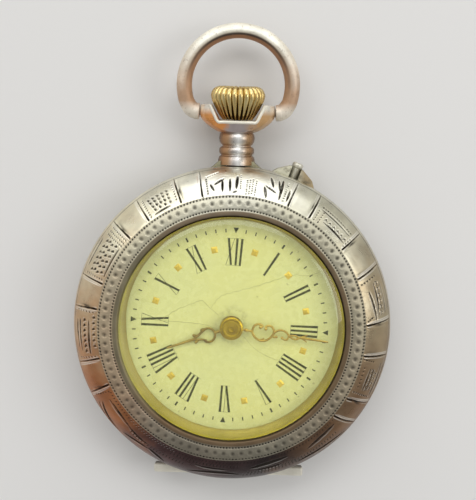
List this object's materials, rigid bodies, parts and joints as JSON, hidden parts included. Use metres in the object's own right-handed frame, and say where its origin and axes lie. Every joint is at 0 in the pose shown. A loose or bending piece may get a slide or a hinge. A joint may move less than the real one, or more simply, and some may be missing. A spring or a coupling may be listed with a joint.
{
  "type": "fob watch",
  "caption": "Round open-face fob watch: engraved hinged bezel and back, inner cover, winding crown, setting pin, swinging bow, and a geared train that turns pierced hands over a Roman dial.",
  "frame": {"origin": "middle of the flat of the back cover, on which the watch lies", "axes": "+Z out through the dial, +Y to 12 o'clock and the pendant, +X to 3 o'clock"},
  "size_m": [0.032, 0.0462, 0.0094],
  "materials": {
    "silver": "worn engraved silver",
    "worn_silver": "dull silver",
    "gilt": "worn gilt",
    "brass": "grained brass",
    "nickel": "nickelled",
    "steel": "polished",
    "blued_steel": "blued",
    "enamel": "glossy enamel",
    "crystal": "clear"
  },
  "bodies": {
    "case": {"case_band": "silver", "pendant": "silver", "pin_guard": "silver", "back_hinge_pin": "steel", "bezel_hinge_pin": "steel", "main_plate": "brass", "barrel_bridge": "nickel", "train_bridge": "nickel", "escape_cock": "nickel", "balance_cock": "nickel", "barrel_bridge_screw_1": "steel", "barrel_bridge_screw_2": "steel", "train_bridge_screw": "steel", "escape_cock_screw": "steel", "balance_cock_screw": "steel", "case_screw_1": "steel", "case_screw_2": "steel", "click_screw": "steel", "crown_wheel_screw": "steel", "setting_lever_screw": "steel", "click_spring": "blued_steel", "dial": "enamel", "dial_ring": "gilt", "hairspring": "blued_steel"},
    "bow": {"bow": "silver"},
    "crown": {"crown": "gilt", "winding_stem": "steel", "winding_pinion": "steel"},
    "crown_wheel": {"crown_wheel": "steel"},
    "ratchet": {"ratchet_wheel": "steel", "barrel_arbor": "steel", "ratchet_screw": "steel"},
    "click": {"click": "steel"},
    "barrel": {"barrel_drum": "brass", "barrel_cover": "brass", "mainspring": "blued_steel"},
    "centre": {"centre_arbor": "steel", "centre_wheel": "brass"},
    "third": {"third_pinion": "steel", "third_wheel": "brass"},
    "fourth": {"fourth_pinion": "steel", "fourth_wheel": "brass"},
    "escape": {"escape_pinion": "steel", "escape_wheel": "steel"},
    "balance": {"balance_wheel": "brass", "balance_staff": "steel"},
    "minute_hand": {"cannon_pinion": "steel", "minute_hand": "gilt", "hand_boss": "gilt"},
    "minute_wheel": {"minute_wheel": "brass"},
    "hour_hand": {"hour_wheel": "brass", "hour_hand": "gilt"},
    "regulator": {"regulator": "steel"},
    "setting_pin": {"setting_pin": "silver"},
    "setting_lever": {"setting_lever": "steel"},
    "bezel": {"bezel": "silver", "crystal": "crystal"},
    "back_cover": {"back_cover": "silver"},
    "cuvette": {"cuvette": "worn_silver"}
  },
  "joints": [
    {"name": "bow_swing", "type": "hinge", "parent": "case", "child": "bow", "pos_m": [0, 0.02135, 0.00356], "axis": [1, 0, 0], "range_deg": [-95, 95]},
    {"name": "crown_turn", "type": "hinge", "parent": "case", "child": "crown", "pos_m": [0, 0.022, 0.00356], "axis": [0, 1, 0], "continuous": true},
    {"name": "crown_wheel_turn", "type": "hinge", "parent": "case", "child": "crown_wheel", "pos_m": [0, 0.0084, 0.00165], "axis": [0, 0, 1], "continuous": true},
    {"name": "ratchet_turn", "type": "hinge", "parent": "case", "child": "ratchet", "pos_m": [-0.00432, 0.00459, 0.00165], "axis": [0, 0, 1], "continuous": true},
    {"name": "click_rock", "type": "hinge", "parent": "case", "child": "click", "pos_m": [-0.00902, 0.00288, 0.00165], "axis": [0, 0, -1], "range_deg": [0, 10], "stiffness_Nm_per_rad": 0.0000002, "springref_deg": -11.46},
    {"name": "setting_pin_push", "type": "slide", "parent": "case", "child": "setting_pin", "axis": [-0.3584, -0.9336, 0], "range_m": [0, 0.0007], "stiffness_N_per_m": 40, "springref_m": -0.0004},
    {"name": "setting_lever_rock", "type": "hinge", "parent": "case", "child": "setting_lever", "pos_m": [0.0076, 0.0072, 0.00356], "axis": [0, 0, 1], "range_deg": [0, 10]},
    {"name": "bezel_open", "type": "hinge", "parent": "case", "child": "bezel", "pos_m": [0, -0.0156, 0.00472], "axis": [1, 0, 0], "range_deg": [0, 95]},
    {"name": "back_open", "type": "hinge", "parent": "case", "child": "back_cover", "pos_m": [0, -0.01555, 0.00266], "axis": [-1, 0, 0], "range_deg": [0, 100]},
    {"name": "cuvette_open", "type": "hinge", "parent": "case", "child": "cuvette", "pos_m": [0, -0.01555, 0.00266], "axis": [-1, 0, 0], "range_deg": [0, 80]},
    {"name": "minute_hand_turn", "type": "hinge", "parent": "case", "child": "minute_hand", "pos_m": [0, 0, 0.007], "axis": [0, 0, -1], "continuous": true},
    {"name": "hour_hand_turn", "type": "hinge", "parent": "case", "child": "hour_hand", "pos_m": [0, 0, 0.0066], "axis": [0, 0, -1], "continuous": true},
    {"name": "minute_wheel_turn", "type": "hinge", "parent": "case", "child": "minute_wheel", "pos_m": [0.0012, -0.00208, 0.0053], "axis": [0, 0, -1], "continuous": true},
    {"name": "fourth_wheel_turn", "type": "hinge", "parent": "case", "child": "fourth", "pos_m": [0.0012, -0.00458, 0.0035], "axis": [0, 0, -1], "continuous": true},
    {"name": "escape_wheel_turn", "type": "hinge", "parent": "case", "child": "escape", "pos_m": [-0.00124, -0.00628, 0.0035], "axis": [0, 0, -1], "continuous": true},
    {"name": "third_wheel_turn", "type": "hinge", "parent": "case", "child": "third", "pos_m": [0.00342, -0.002, 0.0035], "axis": [0, 0, -1], "continuous": true},
    {"name": "centre_wheel_turn", "type": "hinge", "parent": "case", "child": "centre", "pos_m": [0, 0, 0.0028], "axis": [0, 0, -1], "continuous": true},
    {"name": "barrel_turn", "type": "hinge", "parent": "case", "child": "barrel", "pos_m": [-0.00432, 0.00459, 0.0037], "axis": [0, 0, -1], "continuous": true},
    {"name": "balance_swing", "type": "hinge", "parent": "case", "child": "balance", "pos_m": [-0.00317, -0.0068, 0.0024], "axis": [0, 0, 1], "range_deg": [-135, 135], "stiffness_Nm_per_rad": 0.00000012},
    {"name": "regulator_turn", "type": "hinge", "parent": "case", "child": "regulator", "pos_m": [-0.00317, -0.0068, 0.0013], "axis": [0, 0, 1], "range_deg": [-18, 18]}
  ],
  "couplings": [
    {"joint": "crown_wheel_turn", "follows": "crown_turn", "ratio": 0.7},
    {"joint": "ratchet_turn", "follows": "crown_turn", "ratio": -0.44545},
    {"joint": "setting_lever_rock", "follows": "setting_pin_push", "rad_per_m": 221.5},
    {"joint": "cuvette_open", "follows": "back_open", "ratio": 0.75},
    {"joint": "hour_hand_turn", "follows": "minute_hand_turn", "ratio": 0.083333},
    {"joint": "minute_wheel_turn", "follows": "minute_hand_turn", "ratio": -0.33333},
    {"joint": "escape_wheel_turn", "follows": "fourth_wheel_turn", "ratio": -10},
    {"joint": "third_wheel_turn", "follows": "fourth_wheel_turn", "ratio": -0.13333},
    {"joint": "centre_wheel_turn", "follows": "fourth_wheel_turn", "ratio": 0.016667},
    {"joint": "barrel_turn", "follows": "fourth_wheel_turn", "ratio": -0.0020833}
  ]
}
